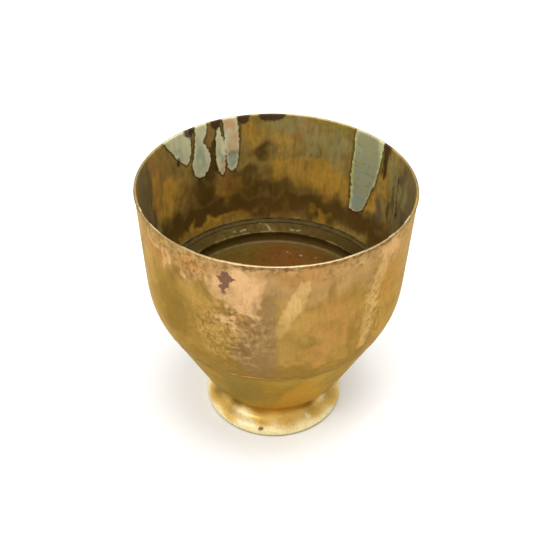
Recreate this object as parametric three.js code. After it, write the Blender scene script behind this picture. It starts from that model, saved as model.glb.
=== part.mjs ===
// Brass planter pot: a spun sheet bowl on a funnel-shaped pedestal, with a shallow pan soldered in as
// its bottom. Millimetres, +Z up, origin at the centre of the foot on the surface it stands on.
import * as THREE from 'three';

// Outer shape. Radii are to the outside of the brass, heights are above the standing surface.
const height = 186;
const lipRadius = 90;
const shoulderRadius = 87.3; // the wall starts to turn in here
const shoulderHeight = 130;
const seamRadius = 79; // bowl and pedestal meet here
const seamHeight = 88;
const neckRadius = 54; // end of the straight funnel
const neckHeight = 36.3;
const waistRadius = 41.5; // narrowest ring of the pedestal
const waistHeight = 13;
const footRadius = 50.6;
const footBand = 4; // the flare ends upright, in a band this high

// Sheet, edges and joints.
const sheet = 1.3; // brass of the bowl and the pedestal
const lipDepth = 3.2; // band of the turned-over lip
const lipProud = 0.5; // how far the lip stands out from the wall
const hemWidth = 6; // flat turned in under the foot
const lap = 9; // collar of the pedestal inside the bowl
const seamOpening = 1.4; // groove between the two sheets that the solder fills
const clearance = 0.3; // between any two pieces

// Bottom pan.
const panSheet = 0.9;
const wellDepth = 8.5; // from the ledge's inner edge down to the floor
const ledgeWidth = 9.5; // from the well to the bowl's wall
const ledgeRise = 4; // the ledge climbs this much towards the wall
const panBend = 2; // inside radius of the pan's pressed corners
const filletLeg = 2.4; // solder bead between the ledge and the bowl

const facets = 64; // flats round every turned piece

const point = (radius, level) => new THREE.Vector2(radius, level);
const heading = (from, to) => to.clone().sub(from).normalize();
const along = (from, direction, distance) => from.clone().addScaledVector(direction, distance);

// Points on a smooth bend that leaves one point in one heading and reaches the next in another.
function bend(from, leaving, to, arriving, steps) {
  const reach = 0.4 * from.distanceTo(to);
  const curve = new THREE.CubicBezierCurve(from, along(from, leaving, reach), along(to, arriving, -reach), to);
  return curve.getPoints(steps);
}

// The same outline moved to its left by a distance, with the corners mitred.
function offsetLeft(outline, distance) {
  const last = outline.length - 1;
  return outline.map((here, i) => {
    const before = heading(outline[Math.max(i - 1, 0)], outline[Math.max(i, 1)]);
    const after = heading(outline[Math.min(i, last - 1)], outline[Math.min(i + 1, last)]);
    const mean = before.clone().add(after).normalize();
    const left = point(-mean.y, mean.x);
    return along(here, left, distance / mean.dot(after));
  });
}

// Radius of a rising outline at a level.
function radiusAt(outline, level) {
  const i = Math.max(outline.findIndex((p) => p.y >= level), 1);
  const [low, high] = [outline[i - 1], outline[i]];
  return THREE.MathUtils.mapLinear(level, low.y, high.y, low.x, high.x);
}

// The part of a rising outline that lies below a level.
function cutLevel(outline, level) {
  return [...outline.filter((p) => p.y < level), point(radiusAt(outline, level), level)];
}

// A ring or disc turned from its closed section, stood up along Z.
function turned(name, section, material) {
  const geometry = new THREE.LatheGeometry(section, facets);
  geometry.rotateX(Math.PI / 2);
  const mesh = new THREE.Mesh(geometry, material);
  mesh.name = name;
  return mesh;
}

const brass = (color, roughness) => new THREE.MeshStandardMaterial({ color, roughness, metalness: 1 });

// Headings shared by the outlines.
const up = point(0, 1);
const seam = point(seamRadius, seamHeight);
const neck = point(neckRadius, neckHeight);
const funnel = heading(neck, seam);
const intoMetal = point(-funnel.y, funnel.x);
const shoulder = point(shoulderRadius, shoulderHeight);
const wallTop = point(lipRadius - lipProud, height);
const wall = heading(shoulder, wallTop);
const seamPoint = (rise, depth) => along(along(seam, funnel, rise), intoMetal, depth);

// Outside of the bowl from the seam to under the lip.
function bowlOutline() {
  const start = seamPoint(seamOpening / 2, 0);
  const top = along(shoulder, wall, (height - lipDepth - shoulderHeight) / wall.y);
  return [...bend(start, funnel, shoulder, wall, 9), top];
}

// The bowl: sheet turned in below, its top edge folded over into a slightly proud lip.
function bowl() {
  const outside = bowlOutline();
  const inside = offsetLeft(outside, sheet);
  const under = outside[outside.length - 1];
  const innerTop = inside[inside.length - 1];
  const crown = (lipRadius - innerTop.x) / 4;
  const lip = [
    point(lipRadius, under.y + lipProud),
    point(lipRadius, height - crown),
    point(lipRadius - crown, height),
    point(innerTop.x + crown, height),
    point(innerTop.x, height - crown),
  ];
  const section = [...outside, ...lip, ...inside.toReversed(), outside[0]];
  return turned('bowl', section, brass(0xb98f4c, 0.42));
}

// Both faces of the collar follow the bowl's inner wall up to a level edge.
const collarLevel = seamHeight + lap;
const collarOutside = cutLevel(offsetLeft(bowlOutline(), sheet + clearance), collarLevel);
const collarInside = cutLevel(offsetLeft(bowlOutline(), 2 * sheet + clearance), collarLevel);

// Outside of the pedestal from its foot to the seam: band, flare, waist, neck and funnel.
function pedestalOutline() {
  const waist = point(waistRadius, waistHeight);
  const flare = bend(point(footRadius, footBand), up, waist, up, 7);
  const neckBend = bend(waist, up, neck, funnel, 7);
  return [point(footRadius, 0), ...flare, ...neckBend.slice(1), seamPoint(-seamOpening / 2, 0)];
}

// The pedestal: spun funnel with a stepped-in collar on top and a hem turned in under the foot.
function pedestal() {
  const outside = pedestalOutline();
  const inside = offsetLeft(outside, sheet).slice(1, -1);
  const step = seamOpening / 2;
  const collar = [
    seamPoint(-step, sheet + clearance),
    ...collarOutside,
    ...collarInside.toReversed(),
    seamPoint(-step - sheet, 2 * sheet + clearance),
    seamPoint(-step - 3 * sheet, sheet),
  ];
  const hem = [
    point(footRadius - sheet, sheet),
    point(footRadius - hemWidth, sheet),
    point(footRadius - hemWidth, 0),
  ];
  const section = [...outside, ...collar, ...inside.toReversed(), ...hem, outside[0]];
  return turned('pedestal', section, brass(0xbd9247, 0.4));
}

// Solder run into the groove between the bowl's edge and the pedestal's shoulder.
function seamSolder() {
  const half = seamOpening / 2 - clearance;
  const proud = -0.3;
  const section = [
    seamPoint(-half, proud),
    seamPoint(half, proud),
    seamPoint(half, sheet),
    seamPoint(-half, sheet),
    seamPoint(-half, proud),
  ];
  return turned('seam_solder', section, brass(0xc07a4c, 0.45));
}

// The pan's rim lies on the top edge of the pedestal's collar and ends at the bowl's inner wall.
const bowlInside = offsetLeft(bowlOutline(), sheet);
const rimLevel = collarLevel + clearance + panSheet;
const ledgeLevel = rimLevel - ledgeRise;
const floorLevel = ledgeLevel - wellDepth;
const panEdge = point(radiusAt(bowlInside, rimLevel) - clearance, rimLevel);
const wellRadius = panEdge.x - ledgeWidth;
const seatRadius = collarInside.at(-1).x - clearance;

// The pan: floor, upright well, a ledge that slopes up and a flat rim on the collar.
function bottomPan() {
  const wellFoot = point(wellRadius, floorLevel + panBend);
  const wellTop = point(wellRadius, ledgeLevel - panBend / 2);
  const ledgeTop = point(seatRadius, rimLevel);
  const slope = heading(point(wellRadius, ledgeLevel), ledgeTop);
  const ledgeStart = along(point(wellRadius, ledgeLevel), slope, panBend / 2);
  const outward = point(1, 0);
  const top = [
    point(0, floorLevel),
    ...bend(point(wellRadius - panBend, floorLevel), outward, wellFoot, up, 3),
    ...bend(wellTop, up, ledgeStart, slope, 2),
    ledgeTop,
    panEdge,
  ];
  const underEdge = panEdge.y - panSheet;
  const underside = offsetLeft(top, -panSheet).slice(0, -1);
  const cut = point(radiusAt(bowlInside, underEdge) - clearance, underEdge);
  const section = [...underside, cut, ...top.toReversed()];
  return turned('bottom_pan', section, brass(0x8c5f2e, 0.55));
}

// Soft solder bead in the corner between the ledge and the wall.
function panSolder() {
  const base = rimLevel + clearance;
  const crest = base + filletLeg;
  const foot = point(radiusAt(bowlInside, base) - clearance - filletLeg, base);
  const corner = point(radiusAt(bowlInside, base) - clearance, base);
  const top = point(radiusAt(bowlInside, crest) - clearance, crest);
  const section = [foot, corner, top, foot];
  return turned('pan_solder', section, brass(0x8f9a78, 0.65));
}

const pot = new THREE.Group();
pot.add(bowl(), pedestal(), seamSolder(), bottomPan(), panSolder());

export default pot;
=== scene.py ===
"""Brass planter pot: a spun bowl on a funnel-shaped pedestal, with a pan soldered in as its bottom."""
import math

import bpy
import numpy as np
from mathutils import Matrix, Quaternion, Vector


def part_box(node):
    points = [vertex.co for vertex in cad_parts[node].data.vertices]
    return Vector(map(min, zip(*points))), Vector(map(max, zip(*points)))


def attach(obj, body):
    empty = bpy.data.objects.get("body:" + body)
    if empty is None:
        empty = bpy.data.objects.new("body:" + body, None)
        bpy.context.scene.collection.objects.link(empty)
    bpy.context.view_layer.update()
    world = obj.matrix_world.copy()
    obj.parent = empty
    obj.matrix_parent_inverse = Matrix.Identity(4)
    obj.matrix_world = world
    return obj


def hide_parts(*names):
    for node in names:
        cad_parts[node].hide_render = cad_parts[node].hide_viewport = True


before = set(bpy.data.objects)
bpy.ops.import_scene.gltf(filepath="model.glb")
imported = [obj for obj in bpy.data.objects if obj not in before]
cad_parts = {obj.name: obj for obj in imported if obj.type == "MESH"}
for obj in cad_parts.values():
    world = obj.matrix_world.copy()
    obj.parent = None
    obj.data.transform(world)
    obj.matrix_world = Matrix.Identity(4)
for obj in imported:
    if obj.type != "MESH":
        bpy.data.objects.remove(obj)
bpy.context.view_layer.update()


# Bowl. Brass sheet, 1.3 mm thick, spun over a former: an almost upright wall with a round turn-in below.
# Its top edge is folded outwards and hammered flat, and its lower edge is brazed to the pedestal. Water and
# soil have left runs of pale crust inside, and years of handling have coloured the brass outside, where
# painted highlights lie over the stains.
MM = 0.001
SHEET = 1.3
SHOULDER = np.array([87.3, 130.0])  # radius and height where the wall starts to turn in
SEAM = np.array([79.0, 88.0])  # bowl and pedestal meet here
NECK = np.array([54.0, 36.3])  # top of the waist's curve; the funnel is straight from here to the seam
SEAM_GAP = 1.4
LIP_DEPTH = 3.2
LIP_PROUD = 0.5
LIP_INSET = 0.1  # the round edge stays inside the CAD's, which leaves room for the rim's bends
LIP_ROUND = 0.8  # height of the round edge
FOLD = np.array([[0.62, 1.7], [0.5, 1.3]])  # edge of the fold: in from the rim, and down from it
rim_radius, _, rim_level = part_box("bowl")[1] / MM


def heading(start, end):
    """Unit vector from one section point to another."""
    return (end - start) / np.linalg.norm(end - start)


def bend(start, leaving, end, arriving, count):
    """Points of a cubic Bezier curve whose two handles are 0.4 of the distance between its ends."""
    reach = 0.4 * np.linalg.norm(end - start)
    handles = np.stack([start, start + reach * leaving, end - reach * arriving, end])
    t = np.linspace(0, 1, count)[:, None]
    return np.hstack([(1 - t) ** 3, 3 * t * (1 - t) ** 2, 3 * t**2 * (1 - t), t**3]) @ handles


def beside(line, distance):
    """The line moved to its left: each point goes along its own normal by the distance."""
    slope = np.gradient(line, axis=0)
    slope /= np.linalg.norm(slope, axis=1, keepdims=True)
    return line + distance * np.column_stack([-slope[:, 1], slope[:, 0]])


def spaced(line, count):
    """The line with its points at even steps of the length run so far."""
    run = np.append(0, np.cumsum(np.linalg.norm(np.diff(line, axis=0), axis=1)))
    at = np.linspace(0, run[-1], count)
    return np.column_stack([np.interp(at, run, line[:, 0]), np.interp(at, run, line[:, 1])])


def in_order(grid, poles):
    """A grid of angle by section point as one row per vertex; with poles each end is a single vertex."""
    flat = grid.reshape(grid.shape[0], grid.shape[1], -1)
    if not poles:
        return flat.reshape(-1, flat.shape[2])
    rings = flat[:, 1:-1].reshape(-1, flat.shape[2])
    return np.concatenate([rings, flat[:1, 0], flat[:1, -1]])


def turned(name, radius, level, fields, material, poles=False):
    """Surface of revolution from two grids in mm, angle by section point: x = r sin a, y = -r cos a and
    z = level, with the angle a running from the front to the right. The section closes on itself, or with
    poles it starts and ends on the axis. Each field becomes a point attribute of its name."""
    around = radius.shape[0]
    turn = np.linspace(0, 2 * np.pi, around, endpoint=False)[:, None]
    points = np.stack([radius * np.sin(turn), -radius * np.cos(turn), level], axis=-1) * MM
    rows = radius.shape[1] - 2 if poles else radius.shape[1]
    here = np.arange(around * rows).reshape(around, rows)
    right = np.roll(here, -1, axis=0)
    if poles:
        low, high = around * rows, around * rows + 1
        quads = np.stack([here[:, :-1], right[:, :-1], right[:, 1:], here[:, 1:]], axis=-1)
        floor_fan = np.stack([np.full(around, low), right[:, 0], here[:, 0]], axis=-1)
        top_fan = np.stack([here[:, -1], right[:, -1], np.full(around, high)], axis=-1)
        faces = quads.reshape(-1, 4).tolist() + floor_fan.tolist() + top_fan.tolist()
    else:
        up = [np.roll(side, -1, axis=1) for side in (here, right)]
        faces = np.stack([here, right, up[1], up[0]], axis=-1).reshape(-1, 4).tolist()
    mesh = bpy.data.meshes.new(name)
    mesh.from_pydata(in_order(points, poles).tolist(), [], faces)
    for field, grid in fields.items():
        attribute = mesh.attributes.new(field, "FLOAT", "POINT")
        whole = np.broadcast_to(grid, radius.shape)
        attribute.data.foreach_set("value", in_order(whole, poles).ravel().astype(np.float32))
    mesh.shade_smooth()
    mesh.materials.append(material)
    piece = bpy.data.objects.new(name, mesh)
    bpy.context.scene.collection.objects.link(piece)
    return piece


def wrapped(degrees):
    """The same angle between -180 and 180 degrees."""
    return (degrees + 180) % 360 - 180


def wobble(turn, level, size, seed):
    """Smooth swells about so many mm long, mostly between -1 and 1: the sum of cosines that run across the
    wall in seeded directions, each with a whole number of waves round the pot."""
    chance = np.random.default_rng(seed)
    waves = 16
    round_the_pot = np.round(chance.normal(size=waves) * np.pi * rim_radius / size)
    up_the_wall = chance.normal(size=waves) * np.pi / size
    phase = chance.uniform(0, 2 * np.pi, waves)
    total = np.zeros(np.broadcast_shapes(turn.shape, level.shape))
    for around, up, start in zip(round_the_pot, up_the_wall, phase):
        total += np.cos(around * np.radians(turn) + up * level + start)
    return total / np.sqrt(waves / 2)


def patches(turn, level, rows, push=1.0):
    """Weight from 0 to 1 on a wall. Each row is an ellipse: angle, height, half width and half height,
    lean to the right for each mm up, and the mm over which it fades. Swells push its outline about, and
    the strongest one counts. A push below 1 keeps the outlines smoother."""
    weight = np.zeros(np.broadcast_shapes(turn.shape, level.shape))
    aside = push * (2.4 * wobble(turn, level, 16, 3) + 1.0 * wobble(turn, level, 5, 5))
    above = push * (3.0 * wobble(turn, level, 16, 4) + 1.2 * wobble(turn, level, 5, 6))
    for angle, height, wide, tall, lean, fade in rows:
        across = np.radians(wrapped(turn - angle)) * rim_radius - lean * (level - height) + aside
        depth = (1 - np.hypot(across / wide, (level - height + above) / tall)) * min(wide, tall)
        weight = np.maximum(weight, np.clip(0.5 + depth / fade, 0, 1))
    return weight


def runs(turn, level, shapes):
    """Distance in mm from the edge of the nearest run, positive inside it. Each shape is a list of rows
    from its bottom up: height, left angle and right angle, joined by straight edges."""
    deepest = np.full(np.broadcast_shapes(turn.shape, level.shape), -9.0)
    for shape in shapes:
        heights, left, right = np.array(shape, float).T
        middle = (left.mean() + right.mean()) / 2
        offset = wrapped(turn - middle) + middle
        to_left = (offset - np.interp(level, heights, left)) * np.radians(rim_radius)
        to_right = (np.interp(level, heights, right) - offset) * np.radians(rim_radius)
        ends = np.minimum(level - heights[0], heights[-1] - level)
        deepest = np.maximum(deepest, np.minimum(np.minimum(to_left, to_right), ends))
    return deepest + 0.4 * wobble(turn, level, 4, 8)


def scattered(seed, count, start, end, low, high, wide, tall, fade):
    """Seeded rows for patches(), spread between two angles and two heights; sizes vary by 0.6 to 1.4."""
    chance = np.random.default_rng(seed)
    angles, heights = chance.uniform(start, end, count), chance.uniform(low, high, count)
    swell = chance.uniform(0.6, 1.4, (count, 2))
    return [(a, h, wide * w, tall * t, 0, fade) for a, h, (w, t) in zip(angles, heights, swell)]


def drip(angle, bottom, half):
    """Rows for runs() of one drip: a round end at the bottom, widest a little above, up to the rim."""
    shares = [(0, 0.15), (3, 0.6), (8, 1.0), (16, 0.9), (30, 0.7)]
    return [(bottom + up, angle - half * share, angle + half * share) for up, share in shares] + [
        (rim_level + 1, angle - 0.9 * half, angle + 0.8 * half)]


def linear(colour):
    """An sRGB hex value as linear red, green and blue with alpha 1."""
    s = np.array([int(colour[i:i + 2], 16) for i in (1, 3, 5)]) / 255
    return (*np.where(s <= 0.04045, s / 12.92, ((s + 0.055) / 1.055) ** 2.4), 1.0)


def add(tree, kind, inputs, out=0, **settings):
    """Adds a node with its settings and gives one of its outputs. An input is linked if it is given a
    socket, and set to the value otherwise."""
    node = tree.nodes.new("ShaderNode" + kind)
    for name, value in settings.items():
        setattr(node, name, value)
    for name, value in inputs.items():
        if isinstance(value, bpy.types.NodeSocket):
            tree.links.new(value, node.inputs[name])
        else:
            node.inputs[name].default_value = value
    return node.outputs[out]


def new_finish(name):
    """An empty node material, its tree, its Principled BSDF and its Object coordinates."""
    finish = bpy.data.materials.new(name)
    finish.use_nodes = True
    tree = finish.node_tree
    return finish, tree, tree.nodes["Principled BSDF"], add(tree, "TexCoord", {}, "Object")


def blotches(tree, place, size, low=0.3, high=0.7, roughness=0.55):
    """Cloudy blotches about so many mm across: noise with its low and high marks carried to 0 and 1."""
    inputs = {"Vector": place, "Scale": 1 / (size * MM), "Detail": 3.0, "Roughness": roughness}
    return add(tree, "MapRange", {0: add(tree, "TexNoise", inputs), 1: low, 2: high})


def stained(tree, colour, ragged, stains):
    """Lays stains over a colour in turn. A row is the field with the stain's weight, its colour, how far
    the ragged pattern eats into it, and how strong it gets. The share of a stain is its weight times one
    more than the eating, less the eating times the pattern, eased between 0 and 1."""
    for field, over, eaten, most in stains:
        weight = add(tree, "Attribute", {}, "Fac", attribute_name=field)
        swollen = add(tree, "Math", {0: weight, 1: 1 + eaten}, operation="MULTIPLY")
        whole = add(tree, "Math", {0: ragged, 1: -eaten, 2: swollen}, operation="MULTIPLY_ADD")
        share = add(tree, "MapRange", {0: whole, 4: most}, interpolation_type="SMOOTHSTEP")
        colour = add(tree, "Mix", {0: share, 6: colour, 7: linear(over)}, 2, data_type="RGBA")
    return colour


EDGE_TINT = (0.9, 0.76, 0.5, 1.0)  # tarnished brass stays coloured at a glancing angle
AROUND_BOWL = 640
funnel = heading(NECK, SEAM)
lip_under = rim_level - LIP_DEPTH
wall_top = np.array([rim_radius - LIP_PROUD, rim_level])
wall_rise = heading(SHOULDER, wall_top)
bowl_start = SEAM + funnel * SEAM_GAP / 2
turn_in = bend(bowl_start, funnel, SHOULDER, wall_rise, 60)
under_lip = SHOULDER + wall_rise * (lip_under - SHOULDER[1]) / wall_rise[1]
outer = spaced(np.vstack([turn_in, under_lip]), 66)
inner = beside(outer, SHEET)
inner_top = np.array([inner[-1, 0], rim_level])
lip_radius = rim_radius - LIP_INSET
lip_middle = (lip_radius + inner_top[0]) / 2
crown_turn = np.linspace(-0.15, np.pi, 11)[:, None]
crown_half = (lip_radius - inner_top[0]) / 2
crown_level = rim_level - LIP_ROUND * (1 - np.sin(crown_turn))
crown = np.hstack([lip_middle + crown_half * np.cos(crown_turn), crown_level])
under_fold = np.array([rim_radius, rim_level]) - FOLD
section = np.vstack([outer, under_fold, spaced(crown, 14), inner[::-1]])
crown_from = len(outer) + 2
inside_from = crown_from + 8

turn = np.linspace(0, 360, AROUND_BOWL, endpoint=False)[:, None]
front = wrapped(turn)
back = wrapped(180 - turn)
level = np.broadcast_to(section[None, :, 1], (AROUND_BOWL, len(section)))
is_inside = (np.arange(len(section)) >= inside_from)[None, :].astype(float)

# Stains on the outside, by angle from the front, and on the inside, by angle from the back, as rows for
# patches(). The seeded rows carry the same wear round the rest of the wall.
ALL_ROUND = 2000  # half width of a stain that goes all round
ROUND_FROM, ROUND_TO = 75, 285  # the sides and the back of the outside
BEHIND_FROM, BEHIND_TO = 100, 260  # the near half of the inside
outside_stains = {
    "tan": [(0, 182, ALL_ROUND, 22, 0, 26)],
    # Pale rows: those at the front, from -25 to -5 degrees and 140 to 182 mm, are a painted highlight; the
    # others are pale wear.
    "pale_wear_and_highlight": [
        (-15, 169, 16, 13, 0, 9), (-12, 157, 8, 9, 0, 9), (-10, 148, 6, 6, 0, 9),
        (50, 178, 9, 5, 0, 12), (-46, 172, 2.5, 6, 0.3, 4), (-37, 168, 2, 6, 0.3, 4),
        (-53, 176, 6, 5, 0, 8), (-17, 140, 7, 6, 0, 9),
        *scattered(11, 12, ROUND_FROM, ROUND_TO, 130, 180, 9, 12, 10)],
    "copper": [
        (-33, 177, 12, 6, 0, 7), (8, 181, 24, 2.2, 0, 4), (24, 134, 11, 17, 0, 32),
        (18, 112, 12, 7, 0, 24), (-12, 141, 6, 8, 0, 8), (-52, 170, 13, 9, 0, 12),
        (54, 150, 9, 20, 0, 18), (12, 176, 12, 6, 0, 12),
        *scattered(12, 12, ROUND_FROM, ROUND_TO, 110, 182, 12, 14, 14)],
    "umber": [
        (13, 129, 1.6, 7.0, 0, 5), (10, 124, 1.2, 1.4, 0, 48), (46, 116, 1.2, 1.4, 0, 44),
        (-16, 154, 8, 5, 0, 8), (-26, 160, 5, 8, 0, 8), (0, 100, 70, 6, 0, 10),
        (-46, 130, 16, 24, 0, 30), (33, 124, 4, 18, 0, 10), (22, 160, 3, 12, 0, 9),
        (-42, 160, 5, 10, 0, 9), (0, 90, ALL_ROUND, 5, 0, 13),
        *scattered(13, 14, ROUND_FROM, ROUND_TO, 95, 175, 9, 14, 14)],
    "mottle": [
        (-18, 130, 25, 27, 0, 18), (-34, 172, 14, 12, 0, 14), (44, 140, 9, 34, 0, 14),
        (0, 186, ALL_ROUND, 6, 0, 6), *scattered(14, 5, ROUND_FROM, ROUND_TO, 110, 160, 22, 24, 18)],
}
inside_stains = {
    "gold": [
        (-63, 141, 17, 14, -0.4, 14), (-53, 145, 8, 9, -0.6, 9), (-12, 173, 8, 9, 0, 12),
        (4, 142, 13, 10, 0, 14), (12, 148, 14, 6, 0, 9), (27, 139, 18, 14, 0, 16),
        (-22, 128, 14, 6, 0, 11), (-37, 102, 34, 4, 0.1, 5), (24, 102, 10, 5, 0, 5),
        (54, 144, 3.5, 24, 0.42, 5), (59, 165, 2.2, 20, 0.1, 4),
        *scattered(15, 10, BEHIND_FROM, BEHIND_TO, 125, 178, 12, 12, 14)],
    "copper": [
        (-61, 152, 9, 11, 0, 13), (-70, 164, 8, 14, 0, 16), (-24, 138, 5, 7, 0, 9),
        (0, 105, 30, 4, 0, 9), (-20, 184, 6, 3, 0, 5), (14, 172, 8, 7, 0, 12),
        *scattered(16, 8, BEHIND_FROM, BEHIND_TO, 130, 178, 10, 12, 14)],
    "umber": [
        (0, 113, ALL_ROUND, 12, 0, 25), (-38, 131, 13, 12, 0, 22), (-6, 128, 24, 8, 0, 20),
        (-14, 135, 12, 5, 0, 20), (-29, 165, 2, 24, 0, 3), (-34, 150, 12, 10, 0, 12),
        (20, 160, 3, 8, 0, 6), (-8, 157, 7, 5, 0, 14), (58, 172, 2, 14, 0, 3), (68, 152, 3, 22, 0.1, 5),
        (74, 165, 3, 14, 0, 5), (80, 140, 3, 20, 0, 6), (-76, 150, 3, 26, 0, 6),
        *scattered(17, 9, BEHIND_FROM, BEHIND_TO, 125, 175, 8, 14, 14)],
    "honey": [
        (-63, 140, 16, 10, -0.4, 16), (-60, 151, 12, 8, -0.3, 14), (25, 138, 12, 6, 0, 22),
        (11, 149, 8, 3, 0, 14), (-72, 160, 6, 10, 0, 14), (3, 165, 7, 6, 0, 20),
        (55, 140, 2.5, 14, 0.42, 5), (-36, 103, 20, 2, 0.1, 6)],
    "amber": [
        (-37, 102.5, 32, 4.5, 0.1, 6), (24, 103, 10, 6, 0, 7), (-56, 143, 8, 13, -0.6, 10),
        (22, 136, 14, 9, 0, 12)],
    "slate": [
        (-86, 155, 18, 50, 0, 30), (86, 150, 26, 50, 0, 34), (58, 133, 5, 14, 0, 8),
        (30, 173, 3, 8, 0, 5), (28, 176, 3, 8, 0, 5), (180, 150, 60, 60, 0, 40)],
    "sage": [
        (30, 166, 9, 19, 0, 8), (6, 178, 16, 7, 0, 12), (18, 160, 6, 9, 0, 9), (66, 172, 5, 14, 0, 8),
        (71, 160, 5, 12, 0, 10), (80, 166, 5, 10, 0, 12), (20, 172, 8, 8, 0, 14), (14, 150, 5, 4, 0, 5),
        *scattered(18, 8, BEHIND_FROM, BEHIND_TO, 150, 182, 9, 14, 10)],
    "lime": [
        (56.8, 172, 1.2, 14, 0, 2), (-57, 182, 8, 2, 0, 3), (30, 185, 14, 1.5, 0, 2)],
    "blue": [
        (-38.5, 160, 3.0, 13, 0, 8), (-21.5, 153, 3.6, 6, 0, 8), (40.8, 146, 2.6, 28, 0, 4),
        (44, 128, 6, 9, 0, 10), (-27.5, 152, 2.2, 8, 0, 4), (48, 154, 4, 12, 0, 20),
        (-50, 174, 4, 6, 0, 12)],
    "peach": [
        (-21, 172, 3.6, 8, 0, 9), (-26, 181, 4, 5, 0, 5), (-28, 147, 2.5, 5, 0, 4)],
    "dull": [(48, 152, 14, 40, 0, 10), (-21, 160, 3, 6, 0, 5)],
}

# Marks with firm sides: outside, a dull mauve run down from the splash and two painted highlights, paler
# gleams which fade towards the seam, and inside, a lime edge along the broadest run of crust.
mauve = runs(front, level, [
    [(94, -11, 0.3), (112, -18, 1.0), (130, -14, 1.2), (148, -12, 1.2), (165, -4, 0.6)]])
painted_gleam = runs(front, level, [
    [(126, -1.5, 2.5), (140, 0, 6), (152, 3, 10.5), (165, 6.5, 13), (174, 9.5, 13)],
    [(104, 37, 42), (125, 37.5, 43.5), (145, 39, 46), (170, 43, 49)]])
faint_below = np.where(np.abs(front) < 20, np.clip((level - 118) / 40, 0.2, 1), 0.75)
lime_edge = runs(back, level, [[(125, 38.3, 40.2), (187, 38.3, 40.0)]])
outside_runs = {
    "slate": np.clip(0.5 + mauve / 9, 0, 1),
    "painted_gleam": np.clip(0.5 + painted_gleam / 4.5, 0, 1) * faint_below,
}
inside_runs = {"lime": np.clip(0.5 + lime_edge, 0, 1)}
fields = {}
for stain in ("tan", "pale_wear_and_highlight", "copper", "umber", "slate", "mottle", "painted_gleam", "gold", "amber", "honey", "sage",
              "lime", "blue", "peach", "dull"):
    outside = patches(front, level, outside_stains.get(stain, []))
    outside = np.maximum(outside, outside_runs.get(stain, 0.0))
    inside = patches(back, level, inside_stains.get(stain, []))
    inside = np.maximum(inside, inside_runs.get(stain, 0.0))
    fields[stain] = np.where(is_inside > 0, inside, outside)

# Outlines of the pale crust: five runs on the far wall, then eight drips on the near one. After them the
# dark spots that hang from the rim, and a jagged splash on the outside.
inside_crust = runs(back, level, [
    [(160, -46.5, -45.5), (163, -49, -44.3), (168, -52, -43.4), (175, -55, -43), (181, -58, -43),
     (187, -60, -43.5)],
    [(145, -39.5, -36.5), (149, -42.5, -35), (156, -43.6, -32.8), (164, -42, -33.4), (172, -41, -35.6),
     (178, -40.5, -34.5), (187, -40, -33.5)],
    [(142, -27.5, -26.5), (146, -29.3, -25.3), (152, -30, -25), (160, -30, -25.4), (172, -29.6, -26),
     (181, -28.5, -27)],
    [(144, -23, -21.3), (147, -24.5, -19.8), (153, -25, -18.4), (160, -24.6, -18), (170, -25, -18),
     (187, -26, -18.5)],
    [(121, 39.6, 44.5), (124, 39, 47), (138, 39, 50.8), (150, 39, 53.5), (165, 39, 55.3), (187, 39.5, 57)],
    drip(118, 158, 4), drip(131, 146, 2.5), drip(150, 163, 6), drip(171, 150, 3), drip(196, 166, 5),
    drip(214, 140, 3.5), drip(232, 158, 6), drip(247, 150, 2.5),
])
inside_spots = runs(back, level, [
    [(180, -43.8, -43), (182, -46, -41.3), (184.5, -46.8, -40.6), (190, -46.8, -40.6)],
    [(179, -29.8, -28.6), (181, -31.2, -27.2), (184, -31.8, -26.4), (190, -31.8, -26.4)],
    [(179.5, -16, -15), (181.5, -17.8, -13.2), (184, -18.4, -12.6), (190, -18.4, -12.6)],
    [(181, -5.5, 1), (182.5, -7.4, 2.8), (184.5, -7.8, 3.6), (190, -7.8, 3.6)],
    [(160, 58.8, 59.4), (168, 58.4, 60), (176, 57.6, 60.6), (184, 57, 61.6), (190, 57, 61.6)],
    [(140, 72.6, 73.4), (143, 72.3, 73.8), (148, 71.6, 72.9), (158, 71, 71.9), (170, 70.2, 70.8)],
    [(163, -51.7, -50.8), (165.5, -52.6, -50.2), (168, -52.2, -50.8)],
])
outside_splash = runs(front, level, [
    [(160, -19.4, -18.6), (163, -19.9, -18.2), (165, -20.9, -18.4), (166.5, -19.9, -17.9),
     (168.5, -20.7, -17.8), (170, -19.8, -17.4), (171.4, -21.3, -17.2), (172.6, -20.6, -16.2),
     (173.8, -21.9, -14.6), (174.8, -21.2, -14.2), (175.6, -19.8, -16.4), (177.4, -18.9, -18.0)],
])
along = np.arange(len(section))[None, :]
past_crown = along > crown_from + 3
limb = np.clip(1.3 - np.abs(np.abs(front) - 95) / 50, 0, 1)  # 1 at the left and right, where the painted lip highlight is fainter
fields["crust"] = np.where(is_inside > 0, inside_crust, -9.0)
fields["spot"] = np.where(past_crown, inside_spots, outside_splash - 1.2)
fields["groove"] = np.where(is_inside > 0, -9.0, runs(front, level, [[(183.4, -14, 50), (185.0, -16, 52)]]))
fields["inside"] = is_inside
# A painted highlight along the lip's crown, fainter at the left and right.
fields["painted_lip_highlight"] = np.clip(1.3 - np.abs(along - crown_from - 6) / 2.2, 0, 1) * (1 - 0.6 * limb)

# The crust stands a little off the wall. The free rim of an old pot is never quite round: it is bent into
# an oval, with three smaller bulges, and the bend dies out down the wall.
CRUST_THICKNESS = 0.12
OVAL = 0.35
BULGE = 0.2
radius = np.broadcast_to(section[None, :, 0], level.shape)
radius = radius - CRUST_THICKNESS * np.clip(fields["crust"] / 1.5, 0, 1)
slack = np.clip((level - 110) / 60, 0, 1) ** 2
bent = OVAL * np.cos(2 * np.radians(turn - 25)) + BULGE * np.cos(3 * np.radians(turn - 80))
radius = radius + slack * bent

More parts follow.
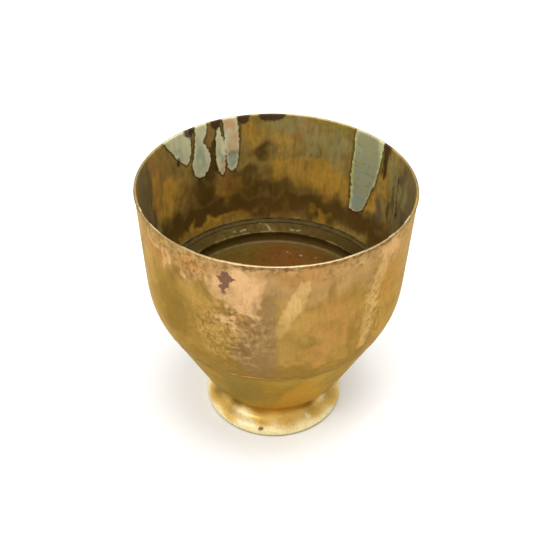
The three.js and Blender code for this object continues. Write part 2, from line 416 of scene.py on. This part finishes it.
# Brass spun on a lathe, then left to tarnish. The bare metal keeps a soft gloss under brown and coppery
# clouds, the inside is dulled by water, and the crust on it is dry, matt and slightly raised. The grain left
# by spinning is a tenth of a millimetre wide, and its fine pattern is drawn 1.8 mm wide so that it shows.
bowl_finish, tree, shader, place = new_finish("tarnished_brass")
inside_in = add(tree, "Attribute", {}, "Fac", attribute_name="inside")
mottle = add(tree, "Attribute", {}, "Fac", attribute_name="mottle")
stretched = add(tree, "Mapping", {"Vector": place, "Scale": (1.0, 1.0, 0.22)})
ragged = blotches(tree, place, 7.0, 0.25, 0.75, 0.62)
blotchy = blotches(tree, place, 3.6, 0.35, 0.65, 0.7)
cloud = blotches(tree, place, 24.0, 0.35, 0.65)
swell = blotches(tree, place, 12.0, 0.3, 0.7, 0.6)
streaks = blotches(tree, stretched, 4.0)
tongues = blotches(tree, stretched, 9.0, 0.2, 0.8, 0.6)
brushed = add(tree, "Mapping", {"Vector": place, "Scale": (1.0, 1.0, 0.35)})
fine = blotches(tree, brushed, 1.8, 0.35, 0.65, 0.65)

brass = add(tree, "Mix", {0: cloud, 6: linear("#A27E3E"), 7: linear("#907234")}, 2, data_type="RGBA")
light_streaks = add(tree, "Math", {0: streaks, 1: 0.4}, operation="MULTIPLY")
brass = add(tree, "Mix", {0: light_streaks, 6: brass, 7: linear("#AE8C50")}, 2, data_type="RGBA")
# The gleams and the pale patch at the front are painted highlights laid over the stains.
outside_colour = stained(tree, brass, ragged, [
    ("tan", "#AC8A62", 0.4, 0.55), ("umber", "#7C622E", 0.5, 0.75), ("copper", "#AE7C42", 0.45, 0.6),
    ("slate", "#866A48", 0.9, 0.75), ("painted_gleam", "#CEA86C", 0.5, 0.7), ("pale_wear_and_highlight", "#CAA272", 0.7, 0.95)])
watered = add(tree, "Mix", {0: cloud, 6: linear("#C2A456"), 7: linear("#A2863C")}, 2, data_type="RGBA")
watered = add(tree, "Mix", {0: light_streaks, 6: watered, 7: linear("#BCA46C")}, 2, data_type="RGBA")
inside_colour = stained(tree, watered, tongues, [
    ("gold", "#DEB048", 0.35, 0.8), ("copper", "#D08E4A", 0.4, 0.75), ("umber", "#5A4416", 0.4, 0.9),
    ("amber", "#B88E2C", 0.4, 0.7), ("honey", "#F8C658", 0.4, 0.65), ("slate", "#7A745C", 0.5, 0.7),
    ("sage", "#BEB474", 0.6, 0.75), ("lime", "#AAA444", 0.4, 0.8)])

# Water has run down the inside, and left dark and golden strokes.
dark_strokes = add(tree, "MapRange", {0: streaks, 1: 0.45, 2: 0.95, 4: 0.32})
streak_brown = linear("#54441C")
inside_colour = add(tree, "Mix", {0: dark_strokes, 6: inside_colour, 7: streak_brown}, 2, data_type="RGBA")
gold_strokes = add(tree, "MapRange", {0: tongues, 1: 0.35, 2: 0.05, 4: 0.4})
streak_gold = linear("#A48A34")
inside_colour = add(tree, "Mix", {0: gold_strokes, 6: inside_colour, 7: streak_gold}, 2, data_type="RGBA")
colour = add(tree, "Mix", {0: inside_in, 6: outside_colour, 7: inside_colour}, 2, data_type="RGBA")

# Mottling, where the outside is etched in dark and light specks a few millimetres across.
dark_specks = add(tree, "MapRange", {0: blotchy, 1: 0.5, 2: 0.9, 4: 0.68})
dark_specks = add(tree, "Math", {0: dark_specks, 1: mottle}, operation="MULTIPLY")
colour = add(tree, "Mix", {0: dark_specks, 6: colour, 7: linear("#6C522E")}, 2, data_type="RGBA")
light_specks = add(tree, "MapRange", {0: blotchy, 1: 0.42, 2: 0.08, 4: 0.5})
light_specks = add(tree, "Math", {0: light_specks, 1: mottle}, operation="MULTIPLY")
colour = add(tree, "Mix", {0: light_specks, 6: colour, 7: linear("#C2A06A")}, 2, data_type="RGBA")
dirt = add(tree, "MapRange", {0: fine, 1: 0.5, 2: 1.0, 4: 0.22})
colour = add(tree, "Mix", {0: dirt, 6: colour, 7: linear("#6A522A")}, 2, data_type="RGBA")
shade = add(tree, "MapRange", {0: swell, 1: 0.4, 2: 1.0, 4: 0.3})
colour = add(tree, "Mix", {0: shade, 6: colour, 7: linear("#7C6434")}, 2, data_type="RGBA")

# The line of dirt in the groove under the lip.
groove = add(tree, "Attribute", {}, "Fac", attribute_name="groove")
groove = add(tree, "Math", {0: ragged, 1: 3.0, 2: groove}, operation="MULTIPLY_ADD")
grimy = add(tree, "MapRange", {0: groove, 1: 1.0, 2: 2.4, 4: 0.75})
colour = add(tree, "Mix", {0: grimy, 6: colour, 7: linear("#66482A")}, 2, data_type="RGBA")

# The crust: depth in from a run's edge, with a dark halo outside it and a pale line just inside it.
crust_in = add(tree, "Attribute", {}, "Fac", attribute_name="crust")
crust_depth = add(tree, "Math", {0: ragged, 1: 1.2, 2: crust_in}, operation="MULTIPLY_ADD")
crusty = add(tree, "MapRange", {0: crust_depth, 1: 0.2, 2: 1.2}, interpolation_type="SMOOTHSTEP")
halo = add(tree, "MapRange", {0: crust_depth, 1: -1.6, 2: 0.1, 4: 0.75})
colour = add(tree, "Mix", {0: halo, 6: colour, 7: linear("#46361A")}, 2, data_type="RGBA")
dry_streaks = add(tree, "Math", {0: streaks, 1: 0.6}, operation="MULTIPLY")
dry_lime, damp_lime = linear("#D4D2A6"), linear("#B0AC80")
crust_colour = add(tree, "Mix", {0: dry_streaks, 6: dry_lime, 7: damp_lime}, 2, data_type="RGBA")
crust_colour = stained(tree, crust_colour, ragged, [
    ("dull", "#8E8C62", 0.4, 0.85), ("blue", "#8E9A8A", 0.4, 0.75), ("peach", "#CE9C70", 0.4, 0.75),
    ("lime", "#A8AC4C", 0.3, 0.85)])
from_line = add(tree, "Math", {0: crust_depth, 1: 1.6}, operation="SUBTRACT")
from_line = add(tree, "Math", {0: from_line}, operation="ABSOLUTE")
pale_line = add(tree, "MapRange", {0: from_line, 1: 0.2, 2: 0.9, 3: 0.65, 4: 0.0})
pale_line = add(tree, "Math", {0: pale_line, 1: blotchy}, operation="MULTIPLY")
crust_colour = add(tree, "Mix", {0: pale_line, 6: crust_colour, 7: linear("#DCD8B0")}, 2, data_type="RGBA")
scratch_place = add(tree, "Mapping", {"Vector": place, "Scale": (0.35, 0.35, 1.6)})
scratches = blotches(tree, scratch_place, 3.0, 0.58, 0.66, 0.7)
dull = add(tree, "Attribute", {}, "Fac", attribute_name="dull")
scratches = add(tree, "Math", {0: scratches, 1: dull}, operation="MULTIPLY")
scratches = add(tree, "Math", {0: scratches, 1: 0.5}, operation="MULTIPLY")
crust_colour = add(tree, "Mix", {0: scratches, 6: crust_colour, 7: linear("#5E5A3C")}, 2, data_type="RGBA")
colour = add(tree, "Mix", {0: crusty, 6: colour, 7: crust_colour}, 2, data_type="RGBA")

# Dark spots below the rim, a splash outside, and a painted highlight along the lip's crown.
spot_in = add(tree, "Attribute", {}, "Fac", attribute_name="spot")
spiky = add(tree, "MapRange", {0: inside_in, 3: 3.6, 4: 0.9})
spot_depth = add(tree, "Math", {0: blotchy, 1: spiky, 2: spot_in}, operation="MULTIPLY_ADD")
spotted = add(tree, "MapRange", {0: spot_depth, 1: -0.7, 2: 1.2, 4: 0.92})
splash_brown, rim_brown = linear("#7E5E4C"), linear("#40301E")
spot_colour = add(tree, "Mix", {0: inside_in, 6: splash_brown, 7: rim_brown}, 2, data_type="RGBA")
# The painted highlight on the lip's crown, broken by the ragged pattern.
painted_lip_highlight = add(tree, "Attribute", {}, "Fac", attribute_name="painted_lip_highlight")
lip_highlight_breaks = add(tree, "MapRange", {0: ragged, 3: 0.9, 4: 0.35})
painted_lip_highlight = add(tree, "Math", {0: painted_lip_highlight, 1: lip_highlight_breaks}, operation="MULTIPLY")
colour = add(tree, "Mix", {0: painted_lip_highlight, 6: colour, 7: linear("#D8C09A")}, 2, data_type="RGBA")
colour = add(tree, "Mix", {0: spotted, 6: colour, 7: spot_colour}, 2, data_type="RGBA")
tree.links.new(colour, shader.inputs["Base Color"])
bare = add(tree, "MapRange", {0: crusty, 3: 1.0, 4: 0.1})
dulled = add(tree, "MapRange", {0: inside_in, 3: 1.0, 4: 0.5})
tree.links.new(add(tree, "Math", {0: bare, 1: dulled}, operation="MULTIPLY"), shader.inputs["Metallic"])
gloss = add(tree, "MapRange", {0: cloud, 3: 0.38, 4: 0.5})
covered = add(tree, "Math", {0: crusty, 1: spotted}, operation="MAXIMUM")
covered = add(tree, "Math", {0: covered, 1: 0.8}, operation="MULTIPLY")
tree.links.new(add(tree, "Math", {0: gloss, 1: covered}, operation="MAXIMUM"), shader.inputs["Roughness"])
shader.inputs["Specular Tint"].default_value = EDGE_TINT
pitted = add(tree, "Math", {0: blotchy, 1: 0.4}, operation="MULTIPLY")
relief = add(tree, "Math", {0: crusty, 1: 0.8, 2: pitted}, operation="MULTIPLY_ADD")
bump = add(tree, "Bump", {"Height": relief, "Strength": 0.35, "Distance": 0.3 * MM})
tree.links.new(bump, shader.inputs["Normal"])

bowl = turned("bowl_body", radius, level, fields, bowl_finish)
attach(bowl, "root")
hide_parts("bowl")


# Pedestal. The same sheet spun into a funnel with a flared foot. Its collar stands inside the bowl, and a hem
# is turned in under the foot. The foot's upturned flare is painted pale, a painted reflection of the bright
# floor and light.
AROUND_PEDESTAL = 600
WAIST = np.array([41.5, 13.0])
FOOT_BAND = 4.0
FOOT_RADIUS = 50.6
HEM_WIDTH = 6.0
HEM_ROUND = 0.8  # the foot's lower corner is rounded by this much
LAP = 9.0
CLEARANCE = 0.3
UP = np.array([0.0, 1.0])
into_metal = np.array([-funnel[1], funnel[0]])
flare = bend(np.array([FOOT_RADIUS, FOOT_BAND]), UP, WAIST, UP, 24)
neck_bend = bend(WAIST, UP, NECK, funnel, 24)
funnel_top = SEAM - funnel * SEAM_GAP / 2
outer_pedestal = spaced(np.vstack([[FOOT_RADIUS, HEM_ROUND], flare, neck_bend[1:], funnel_top]), 76)
whole_climb = np.sum(np.linalg.norm(np.diff(outer_pedestal, axis=0), axis=1))
inner_pedestal = beside(outer_pedestal, SHEET)[2:-2]
collar_level = SEAM[1] + LAP
collar_outer = beside(outer, SHEET + CLEARANCE)
collar_outer = collar_outer[collar_outer[:, 1] < collar_level]
collar_inner = beside(outer, 2 * SHEET + CLEARANCE)
collar_inner = collar_inner[collar_inner[:, 1] < collar_level]
step_out = funnel_top + into_metal * (SHEET + CLEARANCE)
step_in = funnel_top - funnel * SHEET + into_metal * (2 * SHEET + CLEARANCE)
hem_radius = FOOT_RADIUS - HEM_WIDTH
rounding = [FOOT_RADIUS - 0.2, 0.25]
hem = np.array([[FOOT_RADIUS - SHEET, SHEET], [hem_radius, SHEET], [hem_radius, 0.0],
                [FOOT_RADIUS - HEM_ROUND, 0.0], rounding])
pedestal_section = np.vstack([outer_pedestal, step_out, collar_outer, collar_inner[::-1], step_in,
                              inner_pedestal[::-1], spaced(hem, 14)])
pedestal_turn = np.linspace(0, 360, AROUND_PEDESTAL, endpoint=False)[:, None]
pedestal_front = wrapped(pedestal_turn)
pedestal_level = np.broadcast_to(pedestal_section[None, :, 1], (AROUND_PEDESTAL, len(pedestal_section)))
pedestal_radius = np.broadcast_to(pedestal_section[None, :, 0], pedestal_level.shape)
climb = np.interp(pedestal_level, outer_pedestal[:, 1], np.linspace(0, whole_climb, len(outer_pedestal)))

# Stains by angle from the front and by climb, the mm run up the outer profile. The foot is about half as wide
# as the rim, so swells round it come out half as long: they are pushed less, and doubling the climb keeps
# those at the edge of the pale foot as long one way as the other.
CALM = 0.3
pedestal_stains = {
    "olive": [
        (-18, 74, 20, 28, 0, 18), (-36, 42, 16, 18, 0, 14),
        *scattered(21, 7, ROUND_FROM, ROUND_TO, 30, 92, 16, 16, 14)],
    "orange": [
        (12, 56, 14, 36, 0.35, 14), (4, 28, 34, 14, 0, 12), (28, 44, 18, 24, 0, 14),
        *scattered(22, 7, ROUND_FROM, ROUND_TO, 18, 92, 20, 16, 20)],
    "straw": [
        (-54, 27, 14, 12, 0, 18), (52, 27, 15, 14, 0, 18), (-31, 16, 10, 5, 0, 12),
        *scattered(26, 7, ROUND_FROM, ROUND_TO, 12, 28, 24, 8, 16)],
    "bleach": [
        (43, 27, 7, 5, 0, 9), (34, 9, 4.5, 2.5, 0, 3), (58, 20, 11, 6, 0, 12), (-32, 13, 13, 4, 0, 9),
        (-22, 9, 12, 2.5, 0, 7), *scattered(23, 7, ROUND_FROM, ROUND_TO, 5, 16, 22, 4, 9)],
    "umber": [
        (0, 102, ALL_ROUND, 4, 0, 10), *scattered(24, 6, ROUND_FROM, ROUND_TO, 24, 92, 10, 14, 12)],
    "verdigris": [
        (-10.5, 6, 3.6, 1.7, 0, 1.4), (140, 7, 4, 1.5, 0, 1.2), (-118, 8, 4.4, 1.6, 0, 1.4)],
}
pedestal_fields = {}
for stain, rows in pedestal_stains.items():
    pedestal_fields[stain] = patches(pedestal_front, climb, rows, CALM)
spread = 2.2 * wobble(pedestal_front, 2 * climb, 50, 25)
# The pale foot is a painted reflection of the bright floor and light: pale from about the waist down, palest
# near the lower edge.
pedestal_fields["painted_foot_reflection"] = np.clip((21.5 - climb + spread) / 15, 0, 1)
pedestal_fields["edge"] = np.clip((11.5 - climb + 1.2 * spread) / 9, 0, 1)
pedestal_fields["rim"] = np.clip((2.2 - pedestal_level) / 0.8, 0, 1)

# The same spun brass, cleaner than the bowl's. The funnel is orange and olive with a soft gloss, and the foot
# is painted pale and less metallic, a painted reflection of the bright floor and light, with a dark line
# where its lower edge meets the ground. Its specks are drawn 1.5 mm wide, coarser than real dust, so that
# they show.
pedestal_finish, tree, shader, place = new_finish("brass_with_painted_pale_foot")
ragged = blotches(tree, place, 11.0, 0.2, 0.8, 0.55)
blotchy = blotches(tree, place, 3.2, 0.32, 0.68, 0.65)
cloud = blotches(tree, place, 20.0, 0.35, 0.65)
fine = blotches(tree, place, 1.5, 0.35, 0.65, 0.7)
brass = add(tree, "Mix", {0: cloud, 6: linear("#A4863E"), 7: linear("#927230")}, 2, data_type="RGBA")
# The two palest layers on the foot are its painted reflection.
colour = stained(tree, brass, ragged, [
    ("olive", "#84703A", 0.5, 0.8), ("orange", "#B88A36", 0.4, 0.85), ("umber", "#7A5C26", 0.5, 0.7),
    ("straw", "#CDB46C", 0.4, 0.75), ("painted_foot_reflection", "#DEB65E", 0.3, 0.95), ("edge", "#F4E4AE", 0.4, 0.95),
    ("bleach", "#F4EAC2", 0.5, 0.6), ("verdigris", "#565A22", 0.3, 0.95)])
dirt = add(tree, "MapRange", {0: blotchy, 1: 0.55, 2: 1.0, 4: 0.2})
colour = add(tree, "Mix", {0: dirt, 6: colour, 7: linear("#92702E")}, 2, data_type="RGBA")
specks = add(tree, "MapRange", {0: fine, 1: 0.5, 2: 1.0, 4: 0.2})
colour = add(tree, "Mix", {0: specks, 6: colour, 7: linear("#6E5526")}, 2, data_type="RGBA")
ground_line = add(tree, "Attribute", {}, "Fac", attribute_name="rim")
ground_line = add(tree, "Math", {0: ground_line, 1: 0.8}, operation="MULTIPLY")
colour = add(tree, "Mix", {0: ground_line, 6: colour, 7: linear("#6A5A34")}, 2, data_type="RGBA")
tree.links.new(colour, shader.inputs["Base Color"])
# The foot is less metallic where its painted reflection lies.
painted_foot_reflection = add(tree, "Attribute", {}, "Fac", attribute_name="painted_foot_reflection")
tree.links.new(add(tree, "MapRange", {0: painted_foot_reflection, 3: 1.0, 4: 0.15}), shader.inputs["Metallic"])
tree.links.new(add(tree, "MapRange", {0: cloud, 3: 0.42, 4: 0.54}), shader.inputs["Roughness"])
shader.inputs["Specular Tint"].default_value = EDGE_TINT
bump = add(tree, "Bump", {"Height": blotchy, "Strength": 0.3, "Distance": 0.2 * MM})
tree.links.new(bump, shader.inputs["Normal"])
pedestal = turned("pedestal_body", pedestal_radius, pedestal_level, pedestal_fields, pedestal_finish)
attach(pedestal, "root")
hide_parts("pedestal")


# Seam solder. A brazing run in the groove between the bowl's edge and the top of the funnel, scraped level.
# It has taken the brass's colour, and shows coppery where it has been rubbed; the bright coppery patch at the
# front is a painted highlight.
AROUND_RING = 480
SLIT = 0.05  # kept free between the run and the sheet on each side
seam_turn = np.linspace(0, 360, AROUND_RING, endpoint=False)[:, None]
half_gap = SEAM_GAP / 2 - SLIT
bead_turn = np.linspace(0, 2 * np.pi, 20, endpoint=False)[None, :] - np.pi / 2
bead_rise = half_gap * np.sin(bead_turn)
proud = 0.08 + 0.1 * wobble(seam_turn, bead_rise, 9, 21)
bead_depth = 0.5 * SHEET - (0.5 * SHEET + proud) * np.cos(bead_turn)
seam_radius = SEAM[0] + funnel[0] * bead_rise + into_metal[0] * bead_depth
seam_level = SEAM[1] + funnel[1] * bead_rise + into_metal[1] * bead_depth
# The first place, at the front, is a painted highlight; the other two are rubbed wear.
rubbed_and_highlight_places = [(-11, 88, 15, 5, 0, 6), (150, 88, 20, 5, 0, 8), (-120, 88, 9, 5, 0, 6)]
seam_fields = {"rubbed_and_highlight": patches(wrapped(seam_turn), seam_level, rubbed_and_highlight_places)}

# Coppery brazing metal, scraped by hand: it is slightly uneven, and duller than the brass on both sides.
solder_finish, tree, shader, place = new_finish("coppery_solder")
patchy = blotches(tree, place, 9.0, 0.35, 0.65)
colour = add(tree, "Mix", {0: patchy, 6: linear("#8C6C34"), 7: linear("#9E7840")}, 2, data_type="RGBA")
colour = stained(tree, colour, patchy, [("rubbed_and_highlight", "#D69A72", 0.5, 0.95)])
tree.links.new(colour, shader.inputs["Base Color"])
grit = blotches(tree, place, 2.0)
tree.links.new(add(tree, "MapRange", {0: grit, 3: 0.38, 4: 0.6}), shader.inputs["Roughness"])
shader.inputs["Metallic"].default_value = 1.0
seam_bead = turned("seam_bead", seam_radius, seam_level, seam_fields, solder_finish)
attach(seam_bead, "root")
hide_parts("seam_solder")


# Bottom pan. A shallow pan pressed from thinner brass: a flat floor, an upright well, and a ledge that climbs
# to a rim lying on the pedestal's collar. Standing water has stained it and left a line of scale, and painted
# shade darkens its corner.
AROUND_PAN = 480
PAN_SHEET = 0.9
WELL_DEPTH = 8.5
LEDGE_WIDTH = 9.5
LEDGE_RISE = 4.0
PAN_BEND = 2.0
SAG = 0.4  # the floor's gentle waves, strongest in the middle
OUTWARD = np.array([1.0, 0.0])
pan_rim = collar_level + CLEARANCE + PAN_SHEET
ledge_level = pan_rim - LEDGE_RISE
floor_level = ledge_level - WELL_DEPTH
wall_inside = beside(outer, SHEET)
pan_edge = np.array([np.interp(pan_rim, wall_inside[:, 1], wall_inside[:, 0]) - CLEARANCE, pan_rim])
well = pan_edge[0] - LEDGE_WIDTH
seat = np.array([np.interp(collar_level, collar_inner[:, 1], collar_inner[:, 0]) - CLEARANCE, pan_rim])
ledge_foot = np.array([well, ledge_level])
ledge_slope = heading(ledge_foot, seat)
corner_start = np.array([well - PAN_BEND, floor_level])
corner_end = np.array([well, floor_level + PAN_BEND])
corner = bend(corner_start, OUTWARD, corner_end, UP, 8)
shoulder = bend(ledge_foot - UP * PAN_BEND / 2, UP, ledge_foot + ledge_slope * PAN_BEND / 2, ledge_slope, 8)
plate = spaced(np.array([[0.0, floor_level], corner[0]]), 44)
upper = np.vstack([plate, corner[1:], shoulder, spaced(np.array([shoulder[-1], seat]), 14)[1:], pan_edge])
lower = beside(upper, -PAN_SHEET)
lower[0, 0] = 0.0
lower[-1, 0] = np.interp(lower[-1, 1], wall_inside[:, 1], wall_inside[:, 0]) - CLEARANCE
pan_section = np.vstack([lower, upper[::-1]])
pan_turn = np.linspace(0, 360, AROUND_PAN, endpoint=False)[:, None]
pan_back = wrapped(180 - pan_turn)
pan_radius = np.broadcast_to(pan_section[None, :, 0], (AROUND_PAN, len(pan_section)))
pan_x = pan_radius * np.sin(np.radians(pan_turn))
pan_y = -pan_radius * np.cos(np.radians(pan_turn))
free_floor = np.clip(1 - (pan_radius / (well - PAN_BEND)) ** 2, 0, 1)
sag = SAG * np.cos(pan_x / 19 + 1) * np.cos(pan_y / 23) * free_floor
pan_level = pan_section[None, :, 1] + sag
ledge_crest = np.clip(1 - np.abs(pan_radius - well - 0.5) / 0.9, 0, 1) * (pan_level > ledge_level - 1.5)
scrapes = runs(pan_back, pan_radius, [
    [(well + 1, -4, -2.6), (well + 4, -4.6, -3.6), (well + 7, -6.6, -5.8)],
    [(well + 7, -11, -10.4), (well + 9, -11, -10.4)],
    [(well + 7, -9, -8.4), (well + 9, -9, -8.4)], [(well + 6.5, -7.4, -6.8), (well + 9, -7.4, -6.8)],
    [(well + 2, 9, 14), (well + 2.8, 8, 15)], [(well + 3, -24, -15), (well + 3.8, -26, -16)]])
pan_fields = {
    # The corner weight is painted shade: it darkens the floor and the lower well next to the well's wall.
    "corner": np.clip((pan_radius - well + 8) / 7, 0, 1) * np.clip((floor_level + 8 - pan_level) / 2, 0, 1),
    "ledge": np.clip((pan_level - ledge_level + 2.5) / 1.5, 0, 1),
    "crest": ledge_crest * np.clip(0.7 + 0.6 * wobble(pan_back, 0 * pan_radius, 20, 32), 0, 1),
    "scrape": np.clip(0.5 + scrapes, 0, 1),
    "olive": np.clip(0.5 - (pan_x + 16 + 6 * np.sin(pan_y / 12)) / 50, 0, 1),
    "burnt": np.clip(0.5 + (pan_x - 26 + 7 * np.sin(pan_y / 15 + 1)) / 50, 0, 1),
}

# Pressed brass under old water stains: the floor is reddish brown in the middle and olive on the left, with
# painted shade darkening it in its corner against the well, and the ledge is darker still, with scrapes and a
# broken line of pale scale. Its grain is drawn 1.2 mm wide, coarser than real pitting, so that it shows.
pan_finish, tree, shader, place = new_finish("stained_pan_brass")
cloud = blotches(tree, place, 18.0, 0.35, 0.65)
patchy = blotches(tree, place, 5.0, 0.3, 0.7, 0.65)
fine = blotches(tree, place, 1.2)
floor_colour = add(tree, "Mix", {0: cloud, 6: linear("#845424"), 7: linear("#785422")}, 2, data_type="RGBA")
colour = stained(tree, floor_colour, patchy, [
    ("olive", "#6E5C22", 0.15, 0.85), ("burnt", "#5C4018", 0.15, 0.8), ("corner", "#5C4A20", 0.3, 0.9),
    ("ledge", "#40320E", 0.45, 0.95), ("crest", "#6E6236", 0.9, 0.7), ("scrape", "#827A56", 0.3, 0.6)])
soiled = add(tree, "MapRange", {0: patchy, 1: 0.4, 2: 1.0, 4: 0.5})
colour = add(tree, "Mix", {0: soiled, 6: colour, 7: linear("#3E3014")}, 2, data_type="RGBA")

# Specks of scale on the floor: angle from the back, distance out and size in mm.
SPECKS = [(9, 59, 0.8), (11.5, 57.5, 0.5), (20, 57, 1.1), (31, 59.5, 0.6), (150, 30, 0.9), (-110, 44, 0.7)]
for angle, out, size in SPECKS:
    to_back = math.radians(angle)
    centre = (out * MM * math.sin(to_back), out * MM * math.cos(to_back), floor_level * MM)
    away = add(tree, "VectorMath", {0: place, 1: centre}, "Value", operation="DISTANCE")
    speck = add(tree, "MapRange", {0: away, 1: 0.3 * size * MM, 2: 1.5 * size * MM, 3: 0.75, 4: 0.0})
    colour = add(tree, "Mix", {0: speck, 6: colour, 7: linear("#B8AE90")}, 2, data_type="RGBA")
tree.links.new(colour, shader.inputs["Base Color"])
# The corner's painted shade also makes it less metallic.
corner_shade_in = add(tree, "Attribute", {}, "Fac", attribute_name="corner")
clean = add(tree, "MapRange", {0: corner_shade_in, 3: 1.0, 4: 0.2})
bare = add(tree, "MapRange", {0: cloud, 3: 0.8, 4: 0.6})
tree.links.new(add(tree, "Math", {0: bare, 1: clean}, operation="MULTIPLY"), shader.inputs["Metallic"])
tree.links.new(add(tree, "MapRange", {0: patchy, 3: 0.45, 4: 0.65}), shader.inputs["Roughness"])
shader.inputs["Specular Tint"].default_value = EDGE_TINT
bump = add(tree, "Bump", {"Height": fine, "Strength": 0.4, "Distance": 0.2 * MM})
tree.links.new(bump, shader.inputs["Normal"])
pan = turned("bottom_pan_sheet", pan_radius, pan_level, pan_fields, pan_finish, poles=True)
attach(pan, "root")
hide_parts("bottom_pan")


# Pan solder. A soft fillet that closes the pan's rim to the bowl's wall, dull and crusted over.
FILLET = 2.4
bead_base = pan_rim + CLEARANCE
bead_corner = np.array([np.interp(bead_base, wall_inside[:, 1], wall_inside[:, 0]) - CLEARANCE, bead_base])
bead_top = np.array([np.interp(bead_base + FILLET, wall_inside[:, 1], wall_inside[:, 0]) - CLEARANCE,
                     bead_base + FILLET])
bead_foot = bead_corner - OUTWARD * FILLET
bead_hollow = bend(bead_top, -UP, bead_foot, -OUTWARD, 12)
bead_section = np.vstack([spaced(np.vstack([bead_foot, bead_corner, bead_top]), 10)[:-1], bead_hollow[:-1]])
lumps = 0.25 * wobble(seam_turn, 4 * bead_section[None, :, 1], 8, 41)
away = np.clip(np.arange(len(bead_section)) - 8, 0, 1)[None, :]
fillet_radius = bead_section[None, :, 0] - away * (0.1 + lumps)
fillet_level = np.broadcast_to(bead_section[None, :, 1], fillet_radius.shape)

# Old solder under scale, matt and lumpy, painted dark: painted shade, as the fillet sits in the shadow of the
# bowl's wall.
fillet_finish, tree, shader, place = new_finish("crusted_solder_in_painted_shade")
patchy = blotches(tree, place, 6.0, 0.35, 0.65)
colour = add(tree, "Mix", {0: patchy, 6: linear("#3C3116"), 7: linear("#5A4A24")}, 2, data_type="RGBA")
tree.links.new(colour, shader.inputs["Base Color"])
tree.links.new(add(tree, "MapRange", {0: patchy, 3: 0.6, 4: 0.8}), shader.inputs["Roughness"])
shader.inputs["Metallic"].default_value = 0.4
shader.inputs["Specular Tint"].default_value = EDGE_TINT
fillet = turned("pan_fillet", fillet_radius, fillet_level, {}, fillet_finish)
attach(fillet, "root")
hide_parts("pan_solder")


# Studio. A wide pale floor, an even sky and two soft lights: one at the front left, and a larger one above.
FLOOR_REACH = 4.0
corners = [(-FLOOR_REACH, -FLOOR_REACH, 0), (FLOOR_REACH, -FLOOR_REACH, 0), (FLOOR_REACH, FLOOR_REACH, 0),
           (-FLOOR_REACH, FLOOR_REACH, 0)]
floor_mesh = bpy.data.meshes.new("floor")
floor_mesh.from_pydata(corners, [], [(0, 1, 2, 3)])
floor = bpy.data.objects.new("floor", floor_mesh)
bpy.context.scene.collection.objects.link(floor)
floor_paint, _, shader, _ = new_finish("pale_floor")
shader.inputs["Base Color"].default_value = linear("#F4F4F2")
shader.inputs["Roughness"].default_value = 0.9
floor_mesh.materials.append(floor_paint)

world = bpy.data.worlds.new("sky")
bpy.context.scene.world = world
world.use_nodes = True
world.node_tree.nodes["Background"].inputs["Color"].default_value = (1, 1, 1, 1)
world.node_tree.nodes["Background"].inputs["Strength"].default_value = 0.8
POT_MIDDLE = Vector((0, 0, 0.1))


def softbox(name, place, size, watts):
    """A square area light at a place, facing the middle of the pot."""
    lamp = bpy.data.lights.new(name, "AREA")
    lamp.size = size
    lamp.energy = watts
    box = bpy.data.objects.new(name, lamp)
    box.location = place
    box.rotation_euler = (POT_MIDDLE - Vector(place)).to_track_quat("-Z", "Y").to_euler()
    bpy.context.scene.collection.objects.link(box)


softbox("key_light", (-0.9, -0.8, 1.3), 0.8, 12)
softbox("top_light", (0.2, -0.1, 1.6), 1.0, 18)
bpy.context.scene.view_settings.view_transform = "Standard"


# Camera. It looks down on the pot from the front, from about six rim radii away, and leans a little.
CAMERA_RISE = math.radians(38.53)
CAMERA_DISTANCE = 0.567
CAMERA_ROLL = math.radians(0.6)
target = Vector((0, 0, 0.1093))
camera_data = bpy.data.cameras.new("camera")
camera_data.lens = 53.8
camera_data.sensor_width = 36
camera = bpy.data.objects.new("camera", camera_data)
camera.location = target + CAMERA_DISTANCE * Vector((0, -math.cos(CAMERA_RISE), math.sin(CAMERA_RISE)))
camera.rotation_mode = "QUATERNION"
facing = (target - camera.location).to_track_quat("-Z", "Y")
camera.rotation_quaternion = facing @ Quaternion((0, 0, 1), CAMERA_ROLL)
bpy.context.scene.collection.objects.link(camera)
bpy.context.scene.camera = camera
